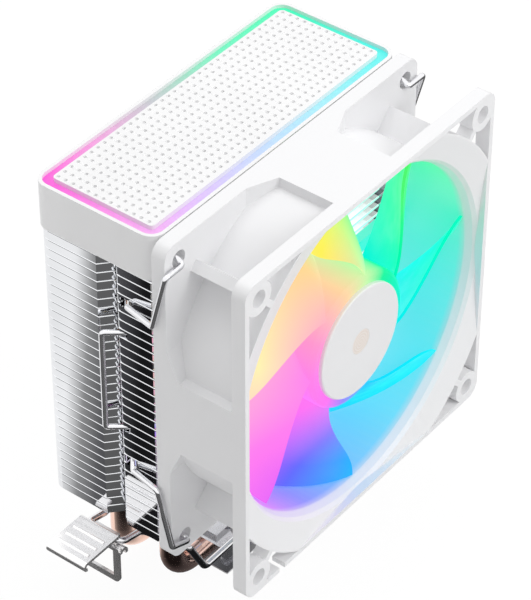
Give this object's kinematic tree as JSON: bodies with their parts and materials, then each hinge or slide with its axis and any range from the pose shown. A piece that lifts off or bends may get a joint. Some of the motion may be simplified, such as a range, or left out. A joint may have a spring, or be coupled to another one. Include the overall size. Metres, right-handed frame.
{
  "type": "cpu tower cooler",
  "caption": "Tower cooler for a processor: copper heat pipes through an aluminium fin stack, a clip-on axial fan, a lit top cover and a hooked wire mounting clip.",
  "frame": {"origin": "centre of the contact face under the base, where the cooler rests on the processor", "axes": "+Z away from the processor; +Y along the air flow from the fan to the rear of the fins; X across the fan, along the heat pipes' row"},
  "size_m": [0.1186, 0.0608, 0.1206],
  "materials": {
    "base_nickel": "polished nickel plate",
    "copper": "bare polished copper",
    "fin_aluminium": "bright rolled sheet",
    "cover_white": "satin white",
    "ring_light": "milky white light diffuser",
    "board_white": "white solder mask",
    "led": "clear light source",
    "socket": "ivory",
    "screw_steel": "zinc plate",
    "frame_white": "satin white",
    "blade_translucent": "frosted translucent",
    "label_silver": "plain film",
    "badge": "satin",
    "bearing": "sintered",
    "washer": "natural",
    "fan_board": "green solder mask",
    "core_steel": "laminated",
    "coil_copper": "enamelled wire",
    "yoke_steel": "drawn",
    "magnet": "bonded magnet",
    "shaft_steel": "ground",
    "clip_wire": "bright plated spring wire",
    "hook_nickel": "bright plated sheet"
  },
  "bodies": {
    "tower": {"base_plate": "base_nickel", "base_cover": "base_nickel", "clip_guide": "base_nickel", "base_screws": "screw_steel", "guide_screws": "screw_steel", "heat_pipe_front": "copper", "heat_pipe_rear": "copper", "fins": "fin_aluminium", "top_cover": "cover_white", "light_ring": "ring_light", "top_plate": "cover_white", "light_board": "board_white", "ring_leds": "led", "board_socket": "socket", "cover_screws": "screw_steel", "fan_frame": "frame_white", "motor_label": "label_silver", "bearing_sleeve": "bearing", "thrust_washer": "washer", "fan_board": "fan_board", "fan_leds": "led", "stator_core": "core_steel", "stator_coils": "coil_copper", "mount_wire": "clip_wire"},
    "rotor": {"impeller": "blade_translucent", "hub_cap": "frame_white", "hub_badge": "badge", "rotor_yoke": "yoke_steel", "magnet_ring": "magnet", "rotor_shaft": "shaft_steel", "retaining_ring": "washer"},
    "fan_clip_left": {"fan_clip_left": "clip_wire"},
    "fan_clip_right": {"fan_clip_right": "clip_wire"},
    "mount_hook_left": {"mount_hook_left": "hook_nickel"},
    "mount_hook_right": {"mount_hook_right": "hook_nickel"}
  },
  "joints": [
    {"name": "rotor_spin", "type": "hinge", "parent": "tower", "child": "rotor", "pos_m": [0, -0.0303, 0.0745], "axis": [0, 1, 0], "continuous": true},
    {"name": "fan_clip_left_swing", "type": "hinge", "parent": "tower", "child": "fan_clip_left", "pos_m": [-0.0424, -0.0074, 0.0745], "axis": [0, 0, 1], "range_deg": [-5, 0]},
    {"name": "fan_clip_right_swing", "type": "hinge", "parent": "tower", "child": "fan_clip_right", "pos_m": [0.0424, -0.0074, 0.0745], "axis": [0, 0, 1], "range_deg": [0, 5]},
    {"name": "mount_hook_left_swing", "type": "hinge", "parent": "tower", "child": "mount_hook_left", "pos_m": [-0.0455, 0, 0.0246], "axis": [0, 1, 0], "range_deg": [-8, 35]},
    {"name": "mount_hook_right_swing", "type": "hinge", "parent": "tower", "child": "mount_hook_right", "pos_m": [0.0455, 0, 0.0246], "axis": [0, 1, 0], "range_deg": [-35, 8]}
  ]
}
